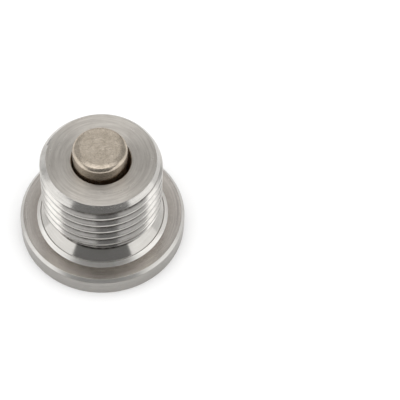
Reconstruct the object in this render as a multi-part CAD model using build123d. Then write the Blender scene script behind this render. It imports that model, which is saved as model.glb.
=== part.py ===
from build123d import *
import math
import os

# Oil drain plug with a magnetic tip, standing on its head with the shank up.
# Millimetres. The origin is the centre of the head's underside and +Z runs up the shank.

# Thread, an ISO metric fine thread cut right-handed
thread_diameter = 16.0
thread_pitch = 1.5
thread_allowance = 0.15  # how much smaller the finished crests are than the nominal diameter
thread_flank_angle = 30.0  # each flank, measured from a plane across the axis
thread_depth_share = 0.6134  # of the pitch, the ISO 68 depth of an external thread
groove_width_share = 7 / 8  # of the pitch, the groove's width at the nominal diameter
thread_start_angle = -61.0  # where the groove leaves the relief, seen from above
cutter_overreach = 0.12  # how far the groove's cutter stands outside the crests

# Shank, from the sealing face to the end face
shank_length = 12.22
end_chamfer_margin = 0.07  # how far the end chamfer stops short of the thread's roots

# Thread relief, the neck between the thread and the head
relief_clearance = 0.23  # how far the neck lies below the thread's roots
relief_floor_length = 0.45
relief_side_angle = 45.0  # of the cone and of the run-out, measured from the axis
relief_corner_radius = 0.3

# Low boss that centres the sealing ring
boss_rim_step = 0.21  # from the nominal thread radius out to the relief's lower rim
boss_land_width = 0.08
boss_height = 0.48

# Head
head_thickness = 2.85
seal_face_width = 1.83
head_top_chamfer = 0.4
head_under_chamfer = 0.1

# Hexagon socket in the head's underside
socket_across_flats = 8.0
socket_depth = 5.0
socket_lead_in = 0.35  # how far the lead-in cone reaches outside the hexagon's corners
pilot_oversize = 0.1  # the drilled pilot hole against the hexagon's flats
pilot_extra_depth = 0.75  # room for the broach's chips
drill_point_angle = 118.0
web_thickness = 1.7  # metal left between the drill's point and the magnet's pocket

# Magnet and its pocket
magnet_diameter = 7.1
magnet_projection = 2.51
magnet_shoulder_width = 0.95  # the shallow cone round the tip's flat
magnet_shoulder_drop = 0.22
magnet_edge_radius = 0.3  # where that cone meets the side
magnet_foot_chamfer = 0.3
magnet_radial_clearance = 0.3
magnet_offset = 0.12  # the magnet stands a little to one side in its pocket, towards -X
pocket_edge_break = 0.1

rounding = 1e-6  # two radii closer than this are the same

# Sizes that follow
thread_depth = thread_depth_share * thread_pitch
crest_radius = (thread_diameter - thread_allowance) / 2
root_radius = thread_diameter / 2 - thread_depth
flank_slope = math.tan(math.radians(thread_flank_angle))
root_half_width = groove_width_share * thread_pitch / 2 - thread_depth * flank_slope

sealing_face = head_thickness
end_face = sealing_face + shank_length
end_chamfer = crest_radius - root_radius - end_chamfer_margin

relief_radius = root_radius - relief_clearance
relief_rise = 1 / math.tan(math.radians(relief_side_angle))
boss_rim_radius = thread_diameter / 2 + boss_rim_step
boss_top = sealing_face + boss_height
boss_land_radius = boss_rim_radius + boss_land_width
boss_foot_radius = boss_land_radius + boss_height
floor_bottom = boss_top + (boss_rim_radius - relief_radius) * relief_rise
floor_top = floor_bottom + relief_floor_length
run_out_top = floor_top + (crest_radius - relief_radius) * relief_rise

seal_face_radius = boss_foot_radius + seal_face_width
head_radius = seal_face_radius + head_top_chamfer

pilot_radius = (socket_across_flats + pilot_oversize) / 2
pilot_depth = socket_depth + pilot_extra_depth
drill_point_height = pilot_radius / math.tan(math.radians(drill_point_angle / 2))
socket_corner_radius = socket_across_flats / 2 / math.cos(math.pi / 6)
lead_in_radius = socket_corner_radius + socket_lead_in

pocket_radius = magnet_diameter / 2 + magnet_radial_clearance
pocket_bottom = pilot_depth + drill_point_height + web_thickness
magnet_length = end_face - pocket_bottom + magnet_projection


def revolved(*outline):
    # A solid of revolution about the axis from (radius, height) points
    section = make_face(Plane.XZ * Polyline(*outline, close=True))
    return revolve(section, Axis.Z)


def turned_blank():
    # Head, boss, relief and unthreaded shank as one lathe profile
    outline = Polyline(
        (0, 0),
        (head_radius - head_under_chamfer, 0),
        (head_radius, head_under_chamfer),
        (head_radius, sealing_face - head_top_chamfer),
        (seal_face_radius, sealing_face),
        (boss_foot_radius, sealing_face),
        (boss_land_radius, boss_top),
        (boss_rim_radius, boss_top),
        (relief_radius, floor_bottom),
        (relief_radius, floor_top),
        (crest_radius, run_out_top),
        (crest_radius, end_face - end_chamfer),
        (crest_radius - end_chamfer, end_face),
        (0, end_face),
        close=True,
    )
    section = make_face(Plane.XZ * outline)
    neck = [corner for corner in section.vertices() if abs(corner.X - relief_radius) < rounding]
    return revolve(fillet(neck, relief_corner_radius), Axis.Z)


def thread_groove():
    # One continuous right-hand groove, built turn by turn, from the relief out past the end face
    outer_radius = crest_radius + cutter_overreach
    outer_half_width = root_half_width + (outer_radius - root_radius) * flank_slope
    start = (floor_bottom + floor_top) / 2
    turns = math.ceil((end_face + outer_half_width - start) / thread_pitch)
    corners = [
        (root_radius, -root_half_width),
        (outer_radius, -outer_half_width),
        (outer_radius, outer_half_width),
        (root_radius, root_half_width),
    ]
    rails = [
        Edge.make_helix(thread_pitch, thread_pitch, radius, center=(0, 0, start + height))
        for radius, height in corners
    ]
    sides = [Face.make_surface_from_curves(rails[i - 1], rails[i]) for i in range(len(rails))]
    mouth, tail = [Face(Wire.make_polygon([rail @ end for rail in rails])) for end in (0, 1)]
    walls = [Pos(0, 0, turn * thread_pitch) * side for turn in range(turns) for side in sides]
    lid = Pos(0, 0, (turns - 1) * thread_pitch) * tail
    return Rot(0, 0, thread_start_angle) * Solid(Shell([mouth, *walls, lid]))


def drive_socket():
    # Broached hexagon over a drilled pilot hole with its point, and a lead-in cone at the mouth
    hexagon = RegularPolygon(socket_across_flats / 2, 6, major_radius=False)
    pilot = revolved(
        (0, 0),
        (pilot_radius, 0),
        (pilot_radius, pilot_depth),
        (0, pilot_depth + drill_point_height),
    )
    lead_in = revolved((0, 0), (lead_in_radius, 0), (0, lead_in_radius))
    return extrude(hexagon, socket_depth) + pilot + lead_in


def magnet_pocket():
    # Flat-bottomed bore with a broken edge at the end face
    return revolved(
        (0, pocket_bottom),
        (pocket_radius, pocket_bottom),
        (pocket_radius, end_face - pocket_edge_break),
        (pocket_radius + pocket_edge_break, end_face),
        (0, end_face),
    )


def plug_body():
    return turned_blank() - thread_groove() - drive_socket() - magnet_pocket()


def magnet():
    # Round bar magnet seated on the pocket's floor, its tip eased by a shallow cone and a rolled edge
    radius = magnet_diameter / 2
    shoulder = magnet_length - magnet_shoulder_drop
    bar = revolved(
        (0, 0),
        (radius - magnet_foot_chamfer, 0),
        (radius, magnet_foot_chamfer),
        (radius, shoulder),
        (radius - magnet_shoulder_width, magnet_length),
        (0, magnet_length),
    )
    rim = bar.edges().filter_by_position(Axis.Z, shoulder - rounding, shoulder + rounding)
    return Pos(-magnet_offset, 0, pocket_bottom) * fillet(rim.filter_by(GeomType.CIRCLE), magnet_edge_radius)


nodes = {"plug_body": plug_body, "magnet": magnet}

os.makedirs("parts", exist_ok=True)
for name, build in nodes.items():
    export_step(build(), f"parts/{name}.step")
    print("wrote", name)
print(f"head {2 * head_radius:.2f} across, end face at {end_face:.2f}, magnet {magnet_length:.2f} long")
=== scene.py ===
import math

import bmesh
import bpy
from mathutils import Matrix, Vector


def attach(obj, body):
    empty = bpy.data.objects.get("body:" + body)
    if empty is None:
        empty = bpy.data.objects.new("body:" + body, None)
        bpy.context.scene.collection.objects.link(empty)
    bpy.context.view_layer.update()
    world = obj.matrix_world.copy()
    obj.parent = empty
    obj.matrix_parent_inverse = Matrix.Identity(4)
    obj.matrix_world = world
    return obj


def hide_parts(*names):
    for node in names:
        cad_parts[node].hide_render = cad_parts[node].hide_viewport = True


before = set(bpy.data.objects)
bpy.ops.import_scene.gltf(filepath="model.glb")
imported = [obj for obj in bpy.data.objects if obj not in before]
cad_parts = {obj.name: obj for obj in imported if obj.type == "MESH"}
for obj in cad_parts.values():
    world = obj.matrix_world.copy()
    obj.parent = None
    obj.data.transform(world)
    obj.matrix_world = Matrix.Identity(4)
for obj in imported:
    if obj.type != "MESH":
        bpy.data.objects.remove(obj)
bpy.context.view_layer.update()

mm = 0.001  # pieces are modelled in millimetres and scaled to metres at the end
micrometre = 1e-6
fullTurn = 2 * math.pi
print("frame loaded")


# Mesh helpers

# How near points are joined, and how short an edge is removed, in millimetres
turnedWeld = {"join": 1e-5, "dissolve": 1e-6}
cutWeld = {"join": 2e-5, "dissolve": 1e-5}


def weld(bm, distances):
    bmesh.ops.remove_doubles(bm, verts=bm.verts[:], dist=distances["join"])
    bmesh.ops.dissolve_degenerate(bm, edges=bm.edges[:], dist=distances["dissolve"])


def wireOutline(bm, corners, roundingSteps, closed=False):
    # Joins (radius, height, rounding) corners in the XZ plane, then rounds each one
    verts = [bm.verts.new((radius, 0, height)) for radius, height, rounding in corners]
    pairs = list(zip(verts, verts[1:]))
    if closed:
        pairs.append((verts[-1], verts[0]))
    for pair in pairs:
        bm.edges.new(pair)
    for vert, (radius, height, rounding) in zip(verts, corners):
        if rounding:
            bmesh.ops.bevel(
                bm, geom=[vert], offset=rounding, offset_type="OFFSET", segments=roundingSteps,
                profile=0.5, affect="VERTICES", material=-1,
            )


def turnOnLathe(facts):
    # A closed solid of revolution whose outline starts and ends on the axis
    bm = bmesh.new()
    wireOutline(bm, facts["outline"], facts["roundingSteps"])
    bmesh.ops.spin(
        bm, geom=bm.verts[:] + bm.edges[:], cent=(0, 0, 0), axis=(0, 0, 1), dvec=(0, 0, 0),
        angle=fullTurn, steps=facts["latheSteps"], use_merge=True,
    )
    weld(bm, turnedWeld)
    bmesh.ops.recalc_face_normals(bm, faces=bm.faces[:])
    return bm


def makeObject(name, bm):
    mesh = bpy.data.meshes.new(name)
    bm.to_mesh(mesh)
    bm.free()
    made = bpy.data.objects.new(name, mesh)
    bpy.context.scene.collection.objects.link(made)
    return made


def bakeModifiers(piece):
    # Replaces a piece's mesh by what its modifiers make of it
    shown = piece.evaluated_get(bpy.context.evaluated_depsgraph_get())
    baked = bpy.data.meshes.new_from_object(shown)
    piece.modifiers.clear()
    piece.data = baked


def cutAway(blank, tool):
    # Takes a tool's solid out of a blank, and removes the tool
    cut = blank.modifiers.new("cut", "BOOLEAN")
    cut.operation = "DIFFERENCE"
    cut.solver = "EXACT"
    cut.object = tool
    bakeModifiers(blank)
    bpy.data.objects.remove(tool)


def finishMesh(piece, sharpAngle):
    # Smooths the shading between sharp edges, keeps flats flat, and scales to metres
    bm = bmesh.new()
    bm.from_mesh(piece.data)
    weld(bm, cutWeld)
    for face in bm.faces:
        face.smooth = True
    for edge in bm.edges:
        edge.smooth = edge.calc_face_angle(0) < math.radians(sharpAngle)
    bm.to_mesh(piece.data)
    bm.free()
    even = piece.modifiers.new("evenNormals", "WEIGHTED_NORMAL")
    even.keep_sharp = True
    even.thresh = 0.0
    bakeModifiers(piece)
    piece.data.transform(Matrix.Scale(mm, 4))


# Plug body

body = {
    "latheSteps": 192,
    "roundingSteps": 3,
    "sharpAngle": 24,
    # (radius, height, rounding) from the bottom of the socket round to the floor of the pocket
    "outline": [
        (0, 8.1835, 0),
        (4.05, 5.75, 0.03),
        (4.05, 0.919, 0.02),
        (4.969, 0, 0.05),
        (10.9, 0, 0.03),
        (10.994, 0.1, 0.03),
        (10.994, 2.456, 0.04),
        (10.6, 2.85, 0.04),
        (8.77, 2.85, 0.03),
        (8.3, 3.32, 0.02),
        (8.25, 3.24, 0.01),
        (8.18, 3.36, 0.015),
        (6.85, 4.69, 0.124),
        (6.85, 5.14, 0.124),
        (7.925, 6.215, 0.02),
        (7.925, 14.295, 0.03),
        (7.15, 15.07, 0.03),
        (3.95, 15.07, 0.03),
        (3.85, 14.97, 0.03),
        (3.85, 9.8835, 0.1),
        (0, 9.8835, 0),
    ],
}

groove = {
    "pitch": 1.5,
    "startAngle": -61,
    "startHeight": 4.915,  # halfway up the neck
    "turns": 8,
    "stepsPerTurn": 120,
    "roundingSteps": 2,
    # (radius, height from the groove's middle, rounding)
    "outline": [
        (7.0799, -0.125, 0.06),
        (7.86, -0.5753, 0.03),
        (8.06, -0.72, 0),
        (8.06, 0.72, 0),
        (7.86, 0.5753, 0.03),
        (7.0799, 0.125, 0.06),
    ],
}

socket = {
    "acrossFlats": 8.0,
    "depth": 5.0,
    "turned": 90,  # degrees, so that it stands as the CAD's hexagon does
    "overrun": 0.5,  # how far the tool stands out of the head
}


def grooveTool():
    # A section of the groove, swept along its helix by a spin that climbs
    bm = bmesh.new()
    wireOutline(bm, groove["outline"], groove["roundingSteps"], closed=True)
    bmesh.ops.translate(bm, verts=bm.verts[:], vec=(0, 0, groove["startHeight"]))
    startTurn = Matrix.Rotation(math.radians(groove["startAngle"]), 3, "Z")
    bmesh.ops.rotate(bm, verts=bm.verts[:], cent=(0, 0, 0), matrix=startTurn)
    first = bm.edges[:]
    spun = bmesh.ops.spin(
        bm, geom=bm.verts[:] + first, cent=(0, 0, 0), axis=(0, 0, 1),
        dvec=(0, 0, groove["pitch"] / groove["stepsPerTurn"]),
        angle=fullTurn * groove["turns"], steps=groove["stepsPerTurn"] * groove["turns"],
        use_merge=False,
    )
    last = [item for item in spun["geom_last"] if isinstance(item, bmesh.types.BMEdge)]
    for end in (first, last):
        bmesh.ops.contextual_create(bm, geom=end)
    bmesh.ops.recalc_face_normals(bm, faces=bm.faces[:])
    return makeObject("grooveTool", bm)


def socketTool():
    # A hexagonal bar
    bm = bmesh.new()
    cornerRadius = socket["acrossFlats"] / 2 / math.cos(math.pi / 6)
    hexagon = bmesh.ops.create_circle(bm, cap_ends=True, segments=6, radius=cornerRadius)["verts"]
    turned = Matrix.Rotation(math.radians(socket["turned"]), 3, "Z")
    bmesh.ops.rotate(bm, verts=hexagon, cent=(0, 0, 0), matrix=turned)
    bmesh.ops.translate(bm, verts=hexagon, vec=(0, 0, -socket["overrun"]))
    raised = bmesh.ops.extrude_face_region(bm, geom=bm.faces[:])
    top = [item for item in raised["geom"] if isinstance(item, bmesh.types.BMVert)]
    bmesh.ops.translate(bm, verts=top, vec=(0, 0, socket["depth"] + socket["overrun"]))
    bmesh.ops.recalc_face_normals(bm, faces=bm.faces[:])
    return makeObject("socketTool", bm)


plugBody = makeObject("turnedBody", turnOnLathe(body))
cutAway(plugBody, grooveTool())
cutAway(plugBody, socketTool())
finishMesh(plugBody, body["sharpAngle"])
print("plug body cut:", len(plugBody.data.polygons), "faces")


# Magnet

barMagnet = {
    "latheSteps": 192,
    "roundingSteps": 6,
    "sharpAngle": 40,
    "aside": -0.12,  # it stands a little to one side in its pocket
    # (radius, height, rounding) from the foot up to the tip
    "outline": [
        (0, 9.8835, 0),
        (3.25, 9.8835, 0.05),
        (3.55, 10.1835, 0.05),
        (3.55, 17.367, 0.41),
        (2.808, 17.58, 0.355),
        (0, 17.58, 0),
    ],
}

magnetBar = makeObject("magnetBar", turnOnLathe(barMagnet))
magnetBar.data.transform(Matrix.Translation((barMagnet["aside"], 0, 0)))
finishMesh(magnetBar, barMagnet["sharpAngle"])
print("magnet turned:", len(magnetBar.data.polygons), "faces")


# Shader helpers

def addNode(tree, kind, inputs=None, **settings):
    # Inputs are numbers, colours or other nodes' outputs, by the name or index of the socket
    node = tree.nodes.new(kind)
    for name, value in settings.items():
        setattr(node, name, value)
    for name, value in (inputs or {}).items():
        entry = node.inputs[name]
        if isinstance(value, bpy.types.NodeSocket):
            tree.links.new(value, entry)
        else:
            entry.default_value = value
    return node


def mathNode(tree, operation, first, second):
    return addNode(tree, "ShaderNodeMath", {0: first, 1: second}, operation=operation).outputs[0]


def vectorNode(tree, operation, inputs, output="Vector"):
    return addNode(tree, "ShaderNodeVectorMath", inputs, operation=operation).outputs[output]


def noiseNode(tree, place, scale, detail, grain=0.5):
    inputs = {"Vector": place, "Scale": scale, "Detail": detail, "Roughness": grain}
    return addNode(tree, "ShaderNodeTexNoise", inputs).outputs["Fac"]


def rangeNode(tree, value, source, target=(0.0, 1.0), interpolation="LINEAR"):
    inputs = {
        "Value": value, "From Min": source[0], "From Max": source[1],
        "To Min": target[0], "To Max": target[1],
    }
    node = addNode(tree, "ShaderNodeMapRange", inputs, interpolation_type=interpolation)
    return node.outputs[0]


def mixColor(tree, factor, first, second):
    # Inputs 6 and 7 are the two colours, and output 2 is their mix
    inputs = {"Factor": factor, 6: first, 7: second}
    return addNode(tree, "ShaderNodeMix", inputs, data_type="RGBA").outputs[2]


def groupNode(tree, group, inputs):
    return addNode(tree, "ShaderNodeGroup", inputs, node_tree=group)


def newGroup(name, inputs, outputs):
    # Inputs come with the values that they have where a material gives none
    group = bpy.data.node_groups.new(name, "ShaderNodeTree")
    for label, value in inputs.items():
        entry = group.interface.new_socket(label, in_out="INPUT", socket_type="NodeSocketFloat")
        entry.default_value = value
    for label in outputs:
        group.interface.new_socket(label, in_out="OUTPUT", socket_type="NodeSocketFloat")
    return group, group.nodes.new("NodeGroupInput"), group.nodes.new("NodeGroupOutput")


def objectPlace(tree):
    return addNode(tree, "ShaderNodeTexCoord").outputs["Object"]


def placeInMm(tree):
    return vectorNode(tree, "SCALE", {0: objectPlace(tree), "Scale": 1 / mm})


def offTheAxis(tree, place):
    # The part of a place that lies across the plug's axis, and its length
    across = vectorNode(tree, "MULTIPLY", {0: place, 1: (1.0, 1.0, 0.0)})
    return across, vectorNode(tree, "LENGTH", {0: across}, "Value")


# Effects that the metals share

turning = {
    "streaks": 1.6,  # how fast a ring changes on its way round
    "climb": 1.7,  # how much faster the rings follow along the axis than outwards
    "fineDetail": 2.0,
    "broadDetail": 3.0,
    "grain": 0.6,
}

wear = {
    # (direction in radians, length against width) of each set of scratches
    "scratchSets": [(0.3, 24.0), (1.0, 32.0), (1.9, 20.0), (2.7, 28.0)],
    "scratchScale": 13.0,
    "scratchTilt": (0.2, 0.1),
    "scratchWidth": (1.0, 2.0),  # across it and in depth, in millimetres before the scale
    "scratchStart": (0.1, 0.07, 0.03),  # keeps the sets from crossing in one point
    "scratchNoise": (0.6, 0.72),  # from no scratch to a full one
    "smudgeDetail": 4.0,
    "smudgeGrain": 0.6,
}

# Noise that breaks up the painted shade of the thread's roots, the neck's corner and the flange by the
# boss
paintedShadeBreakup = {
    "patchScale": 1.6,
    "patchDetail": 4.0,
    "patchGrain": 0.6,
    "patchNoise": (0.25, 0.6),
    "patchShare": (0.55, 1.0),  # of the painted shade, where the patches are thin and where they are full
}

usualNoise = (0.3, 0.7)  # most of a noise lies between these


def makeTurningMarks():
    # Rings left by the lathe, broken into long streaks: fine feed marks, and broader bands of them
    group, given, result = newGroup(
        "turningMarks", {"Fine": 8.0, "Broad": 2.0, "Streaks": turning["streaks"]}, ["Fine", "Broad"]
    )
    place = placeInMm(group)
    height = addNode(group, "ShaderNodeSeparateXYZ", {0: place}).outputs["Z"]
    across, radius = offTheAxis(group, place)
    around = vectorNode(group, "NORMALIZE", {0: across})
    bearing = vectorNode(group, "SCALE", {0: around, "Scale": given.outputs["Streaks"]})
    # One measure that changes along every turned surface, whatever its slope
    along = mathNode(group, "ADD", radius, mathNode(group, "MULTIPLY", height, turning["climb"]))
    for label, detail in (("Fine", turning["fineDetail"]), ("Broad", turning["broadDetail"])):
        rings = mathNode(group, "MULTIPLY", along, given.outputs[label])
        stacked = addNode(group, "ShaderNodeCombineXYZ", {"Z": rings}).outputs[0]
        spot = vectorNode(group, "ADD", {0: stacked, 1: bearing})
        noise = noiseNode(group, spot, 1.0, detail, turning["grain"])
        group.links.new(noise, result.inputs[label])
    return group


def makeHandling():
    # Scratches that run every way, and soft smudges
    group, given, result = newGroup(
        "handling",
        {"Scratch Scale": wear["scratchScale"], "Smudge Scale": 0.5},
        ["Scratches", "Smudges"],
    )
    place = objectPlace(group)
    startX, startY, startZ = wear["scratchStart"]
    width, depth = wear["scratchWidth"]
    total = 0.0
    for direction, length in wear["scratchSets"]:
        mapping = {
            "Vector": place,
            "Location": (startX * direction, startY, startZ),
            "Rotation": (*wear["scratchTilt"], direction),
            "Scale": (mm * length, mm * width, mm * depth),
        }
        laid = addNode(group, "ShaderNodeMapping", mapping, vector_type="TEXTURE").outputs[0]
        noise = noiseNode(group, laid, given.outputs["Scratch Scale"], 1.0)
        total = mathNode(group, "ADD", total, rangeNode(group, noise, wear["scratchNoise"]))
    group.links.new(total, result.inputs["Scratches"])
    smudge = noiseNode(
        group, placeInMm(group), given.outputs["Smudge Scale"],
        wear["smudgeDetail"], wear["smudgeGrain"],
    )
    group.links.new(smudge, result.inputs["Smudges"])
    return group


def makePaintedRootShade():
    # Painted shade that darkens hollows where shade falls: none outside the first radius, full at the
    # second, broken into patches by noise
    group, given, result = newGroup(
        "paintedRootShade", {"Unshaded Radius": 7.8, "Dark Radius": 7.1}, ["Shade"]
    )
    place = placeInMm(group)
    radius = offTheAxis(group, place)[1]
    radii = (given.outputs["Unshaded Radius"], given.outputs["Dark Radius"])
    deep = rangeNode(group, radius, radii, interpolation="SMOOTHSTEP")
    patches = noiseNode(
        group, place, paintedShadeBreakup["patchScale"], paintedShadeBreakup["patchDetail"], paintedShadeBreakup["patchGrain"]
    )
    broken = rangeNode(group, patches, paintedShadeBreakup["patchNoise"], paintedShadeBreakup["patchShare"])
    group.links.new(mathNode(group, "MULTIPLY", deep, broken), result.inputs["Shade"])
    return group


turningMarks = makeTurningMarks()
handling = makeHandling()
paintedRootShade = makePaintedRootShade()


# Metals

quarterTurn = 0.25  # turns the highlights so that they spread across the lathe's rings


def metal(name, look):
    material = bpy.data.materials.new(name)
    material.use_nodes = True
    tree = material.node_tree
    shader = tree.nodes["Principled BSDF"]
    shader.inputs["Metallic"].default_value = 1.0
    shader.inputs["Anisotropic"].default_value = look["anisotropy"]
    shader.inputs["Anisotropic Rotation"].default_value = quarterTurn
    turned = groupNode(tree, turningMarks, {"Fine": look["fineRings"], "Broad": look["broadRings"]})
    worn = groupNode(tree, handling, {"Smudge Scale": look["smudgeScale"]})
    fine = turned.outputs["Fine"]
    broad = turned.outputs["Broad"]
    scratches = worn.outputs["Scratches"]

    def plus(first, second):
        return mathNode(tree, "ADD", first, second)

    def times(value, factor):
        return mathNode(tree, "MULTIPLY", value, factor)

    # The stain lies in smudges, along the fine rings and in the scratches
    smudged = rangeNode(tree, worn.outputs["Smudges"], usualNoise, (0.0, 1.0 - look["ringShare"]))
    ringed = rangeNode(tree, fine, usualNoise, (0.0, look["ringShare"]))
    dull = plus(plus(smudged, ringed), times(scratches, look["scratchTint"]))
    color = mixColor(tree, dull, (*look["color"], 1), (*look["stain"], 1))
    # Painted shade: the colour goes darker towards the axis in the thread's roots, the neck's corner
    # and the flange by the boss
    if "paintedShadeColor" in look:
        radii = {"Unshaded Radius": look["unshadedRadius"], "Dark Radius": look["darkRadius"]}
        shade = groupNode(tree, paintedRootShade, radii).outputs["Shade"]
        color = mixColor(tree, shade, color, (*look["paintedShadeColor"], 1))
    tree.links.new(color, shader.inputs["Base Color"])

    banded = rangeNode(tree, broad, usualNoise, look["roughness"])
    rough = plus(banded, times(scratches, look["scratchRoughness"]))
    tree.links.new(rough, shader.inputs["Roughness"])

    raised = plus(times(fine, look["fineDepth"]), times(broad, look["broadDepth"]))
    height = mathNode(tree, "SUBTRACT", raised, times(scratches, look["scratchDepth"]))
    bump = addNode(tree, "ShaderNodeBump", {"Height": height, "Strength": 1.0, "Distance": micrometre})
    tree.links.new(bump.outputs[0], shader.inputs["Normal"])
    return material


# Depths are in micrometres, rings in rings per millimetre, and radii in millimetres
polished = {
    "color": (0.53, 0.515, 0.49), "stain": (0.45, 0.435, 0.41), "roughness": (0.1, 0.16),
    "smudgeScale": 0.5, "ringShare": 0.5, "anisotropy": 0.4,
    "fineRings": 8.0, "broadRings": 2.0, "fineDepth": 0.5, "broadDepth": 0.8,
    "scratchRoughness": 0.03, "scratchDepth": 0.1, "scratchTint": 0.1,
}

roughlyCut = {
    "color": (0.63, 0.615, 0.59), "stain": (0.51, 0.495, 0.47), "roughness": (0.3, 0.4),
    "smudgeScale": 0.5, "ringShare": 0.5, "anisotropy": 0.7,
    "fineRings": 7.0, "broadRings": 2.0, "fineDepth": 4.0, "broadDepth": 2.0,
    "scratchRoughness": 0.04, "scratchDepth": 0.2, "scratchTint": 0.1,
}

steels = {
    "turnedSteel": {
        "color": (0.64, 0.61, 0.565), "stain": (0.44, 0.41, 0.375), "roughness": (0.26, 0.36),
        "smudgeScale": 0.35, "ringShare": 0.7, "anisotropy": 0.9,
        "fineRings": 5.0, "broadRings": 2.0, "fineDepth": 5.0, "broadDepth": 6.0,
        "scratchRoughness": 0.04, "scratchDepth": 0.3, "scratchTint": 0.1,
    },
    "flangeSteel": {
        "color": (0.63, 0.595, 0.55), "stain": (0.42, 0.39, 0.36), "roughness": (0.15, 0.25),
        "smudgeScale": 0.3, "ringShare": 0.7, "anisotropy": 0.7,
        "fineRings": 5.0, "broadRings": 1.6, "fineDepth": 9.0, "broadDepth": 5.0,
        "scratchRoughness": 0.03, "scratchDepth": 0.2, "scratchTint": 0.1,
        # Painted shade on the flange, darker towards the boss
        "paintedShadeColor": (0.4, 0.365, 0.33), "unshadedRadius": 10.4, "darkRadius": 8.7,
    },
    "polishedSteel": polished,
    "neckSteel": {
        **polished,
        # Painted shade in the corner of the neck under the thread
        "paintedShadeColor": (0.05, 0.042, 0.035), "unshadedRadius": 7.12, "darkRadius": 6.97,
    },
    "crestSteel": {
        "color": (0.58, 0.565, 0.54), "stain": (0.42, 0.405, 0.38), "roughness": (0.24, 0.34),
        "smudgeScale": 1.2, "ringShare": 0.4, "anisotropy": 0.5,
        "fineRings": 9.0, "broadRings": 3.0, "fineDepth": 1.2, "broadDepth": 1.5,
        "scratchRoughness": 0.05, "scratchDepth": 0.3, "scratchTint": 0.2,
    },
    "endChamferSteel": {
        "color": (0.62, 0.605, 0.58), "stain": (0.48, 0.465, 0.44), "roughness": (0.16, 0.26),
        "smudgeScale": 0.5, "ringShare": 0.6, "anisotropy": 0.7,
        "fineRings": 8.0, "broadRings": 2.0, "fineDepth": 2.0, "broadDepth": 1.5,
        "scratchRoughness": 0.04, "scratchDepth": 0.2, "scratchTint": 0.1,
    },
    "roughChamferSteel": roughlyCut,
    # A lighter copy of the rough-cut steel, as painted light on the collar's chamfer
    "collarSteelPaintedLight": {
        **roughlyCut,
        "color": (0.8, 0.785, 0.755), "stain": (0.66, 0.64, 0.61),
    },
    "threadSteel": {
        "color": (0.75, 0.73, 0.7), "stain": (0.59, 0.57, 0.54), "roughness": (0.13, 0.2),
        "smudgeScale": 0.6, "ringShare": 0.5, "anisotropy": 0.5,
        "fineRings": 9.0, "broadRings": 3.0, "fineDepth": 1.2, "broadDepth": 1.5,
        "scratchRoughness": 0.01, "scratchDepth": 0.05, "scratchTint": 0.1,
        # Painted shade in the thread's roots
        "paintedShadeColor": (0.14, 0.13, 0.12), "unshadedRadius": 7.68, "darkRadius": 7.38,
    },
    # A darker copy of the turned steel, as painted shade for the rim wall's dim reflection
    "rimSteelPaintedShade": {
        "color": (0.42, 0.405, 0.385), "stain": (0.32, 0.305, 0.285), "roughness": (0.26, 0.36),
        "smudgeScale": 0.4, "ringShare": 0.6, "anisotropy": 0.6,
        "fineRings": 8.0, "broadRings": 2.0, "fineDepth": 2.0, "broadDepth": 1.5,
        "scratchRoughness": 0.05, "scratchDepth": 0.3, "scratchTint": 0.2,
    },
    "pocketSteel": {
        "color": (0.85, 0.66, 0.5), "stain": (0.55, 0.4, 0.28), "roughness": (0.5, 0.65),
        "smudgeScale": 1.2, "ringShare": 0.3, "anisotropy": 0.0,
        "fineRings": 8.0, "broadRings": 2.0, "fineDepth": 2.0, "broadDepth": 2.0,
        "scratchRoughness": 0.03, "scratchDepth": 0.1, "scratchTint": 0.1,
    },
}

nickel = {
    "color": (0.61, 0.535, 0.45), "stain": (0.42, 0.365, 0.295), "roughness": (0.18, 0.26),
    "smudgeScale": 0.8, "ringShare": 0.2, "anisotropy": 0.0,
    "fineRings": 4.0, "broadRings": 1.0, "fineDepth": 0.3, "broadDepth": 0.3,
    "scratchRoughness": 0.1, "scratchDepth": 1.3, "scratchTint": 0.9,
}

# Where the finishes lie on the plug: (least radius, most radius, lowest, highest)
zones = {
    "neck": (6.8, 8.2, 3.3, 5.2),
    "crests": (7.8, 8.0, 0.0, 14.3),
    "thread": (6.9, 8.0, 5.2, 15.05),
    "shankEnd": (6.9, 8.0, 14.5, 15.05),
    "rim": (10.97, 12.0, -1.0, 16.0),
    "pocket": (0.0, 3.9, 9.8, 15.0),
    "endFace": (0.0, 12.0, 10.0, 16.0),
    "collar": (8.27, 10.0, 2.4, 16.0),
    "headChamfer": (10.0, 12.0, 2.4, 16.0),
}

# How much of a face's normal lies along the axis
slopes = {"wall": (0.0, 0.05), "flat": (0.95, 1.1), "endChamfer": (0.6, 0.8)}

endChamfer = {"radiusPlusHeight": 22.22, "margin": 0.03}


def finishOf(face):
    # The name of a face's steel, from where it lies on the plug and how it slopes
    middle = face.center / mm
    radius = math.hypot(middle.x, middle.y)
    steepness = abs(face.normal.z)

    def within(zone):
        leastRadius, mostRadius, lowest, highest = zones[zone]
        return leastRadius <= radius < mostRadius and lowest <= middle.z < highest

    def sloped(kind):
        least, most = slopes[kind]
        return least <= steepness < most

    if within("neck"):
        return "neckSteel"
    if within("crests") and sloped("wall"):
        return "crestSteel"
    if within("thread"):
        outside = abs(radius + middle.z - endChamfer["radiusPlusHeight"])
        onChamfer = sloped("endChamfer") and outside < endChamfer["margin"]
        return "endChamferSteel" if onChamfer or within("shankEnd") else "threadSteel"
    if within("rim"):
        return "rimSteelPaintedShade"
    if within("pocket"):
        return "pocketSteel"
    if sloped("flat"):
        return "turnedSteel" if within("endFace") else "flangeSteel"
    if within("headChamfer"):
        return "roughChamferSteel"
    return "collarSteelPaintedLight" if within("collar") else "polishedSteel"


for name, look in steels.items():
    plugBody.data.materials.append(metal(name, look))
steelOrder = list(steels)
for face in plugBody.data.polygons:
    face.material_index = steelOrder.index(finishOf(face))
magnetBar.data.materials.append(metal("nickelPlate", nickel))
print("materials made")

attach(plugBody, "root")
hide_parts("plug_body")
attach(magnetBar, "root")
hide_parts("magnet")


# Studio

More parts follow.
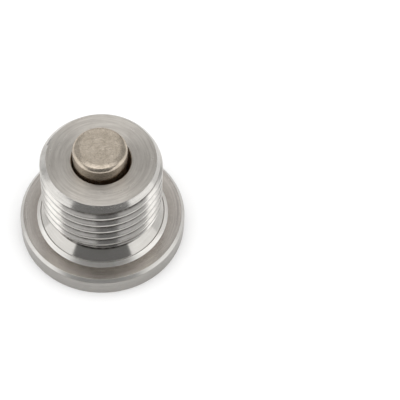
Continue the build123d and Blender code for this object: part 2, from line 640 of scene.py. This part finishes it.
studio = {
    "floorSize": 6.0,
    "floorDrop": 2e-5,  # keeps the floor just clear of the plug's underside
    "floorColor": (0.99, 0.99, 0.99),
    "worldColor": (1.0, 1.0, 1.0),
    # name: (direction it stands in, distance, width, height, brightness)
    "softboxes": {
        "overheadSoftbox": ((0, 0.03, 1), 0.6, 0.6, 0.5, 0.6),
        "leftSoftbox": ((-0.83, -0.3, 0.45), 0.6, 0.6, 0.6, 0.42),
        "rightSoftbox": ((0.83, -0.3, 0.45), 0.6, 0.6, 0.6, 0.42),
    },
    # name: (direction it stands in, distance, width, height, tone)
    "cards": {
        "frontCard": ((0.05, -0.87, 0.49), 0.3, 0.5, 0.3, 0.2),
        "highCard": ((0.03, -0.38, 0.93), 0.34, 0.66, 0.22, 0.45),
        "stripCard": ((0.06, -0.4, 0.92), 0.31, 0.12, 0.2, 0.15),
        "backLeftCard": ((-0.53, 0.468, 0.71), 0.5, 0.36, 0.42, 0.46),
        "backRightCard": ((0.45, 0.493, 0.745), 0.5, 0.37, 0.42, 0.38),
        "backCard": ((0, 0.93, 0.28), 0.52, 0.5, 0.14, 0.12),
    },
}


def plainMaterial(name, color):
    material = bpy.data.materials.new(name)
    material.use_nodes = True
    shader = material.node_tree.nodes["Principled BSDF"]
    shader.inputs["Base Color"].default_value = (*color, 1)
    shader.inputs["Roughness"].default_value = 1.0
    shader.inputs["Specular IOR Level"].default_value = 0.0
    return material


bm = bmesh.new()
bmesh.ops.create_grid(bm, x_segments=1, y_segments=1, size=studio["floorSize"] / 2)
bmesh.ops.translate(bm, verts=bm.verts[:], vec=(0, 0, -studio["floorDrop"]))
floor = makeObject("floor", bm)
floor.data.materials.append(plainMaterial("paleFloor", studio["floorColor"]))

world = bpy.data.worlds.new("studio")
bpy.context.scene.world = world
world.use_nodes = True
world.node_tree.nodes["Background"].inputs["Color"].default_value = (*studio["worldColor"], 1)


def aim(made, place, target, roll=0.0):
    # Stands a lamp, card or camera at a place, looking at a target
    look = (Vector(target) - Vector(place)).to_track_quat("-Z", "Y").to_matrix()
    turned = look @ Matrix.Rotation(math.radians(roll), 3, "Z")
    made.matrix_world = Matrix.Translation(place) @ turned.to_4x4()


def aimAtPlug(made, direction, distance):
    aim(made, Vector(direction).normalized() * distance, (0, 0, 0))


def softbox(name, direction, distance, width, height, brightness):
    # Its brightness is the tone that a mirror would show it in
    lamp = bpy.data.lights.new(name, "AREA")
    lamp.shape = "RECTANGLE"
    lamp.size = width
    lamp.size_y = height
    lamp.energy = brightness * width * height * math.pi
    made = bpy.data.objects.new(name, lamp)
    bpy.context.scene.collection.objects.link(made)
    aimAtPlug(made, direction, distance)
    made.visible_camera = False


def greyCard(name, direction, distance, width, height, tone):
    # A card that only shows in the metal, as a photographer's flag does
    bm = bmesh.new()
    bmesh.ops.create_grid(bm, x_segments=1, y_segments=1, size=0.5)  # half of a side of 1
    bmesh.ops.scale(bm, vec=(width, height, 1), verts=bm.verts[:])
    made = makeObject(name, bm)
    made.data.materials.append(plainMaterial(name, (tone, tone, tone)))
    aimAtPlug(made, direction, distance)
    made.visible_camera = False
    made.visible_diffuse = False
    made.visible_shadow = False


for name, facts in studio["softboxes"].items():
    softbox(name, *facts)
for name, facts in studio["cards"].items():
    greyCard(name, *facts)


# Camera

view = {
    "lens": 144,
    "sensor": 36,
    "elevation": 56.556,
    "distance": 0.21479,
    "target": Vector((0, 0, 0.00285)),
    "targetAside": 0.012948,
    "targetUnder": 0.0023586,
    "roll": 3.663,
    "clip": (0.01, 20),
}

pitch = math.radians(view["elevation"])
forward = Vector((0, math.cos(pitch), -math.sin(pitch)))
upward = Vector((0, math.sin(pitch), math.cos(pitch)))
sideways = Vector((1, 0, 0))
place = (
    view["target"] - forward * view["distance"]
    + sideways * view["targetAside"] + upward * view["targetUnder"]
)
camera = bpy.data.objects.new("camera", bpy.data.cameras.new("camera"))
bpy.context.scene.collection.objects.link(camera)
camera.data.lens = view["lens"]
camera.data.sensor_width = view["sensor"]
camera.data.clip_start, camera.data.clip_end = view["clip"]
aim(camera, place, place + forward, view["roll"])
bpy.context.scene.camera = camera

bpy.context.scene.view_settings.view_transform = "Standard"
print("studio set")
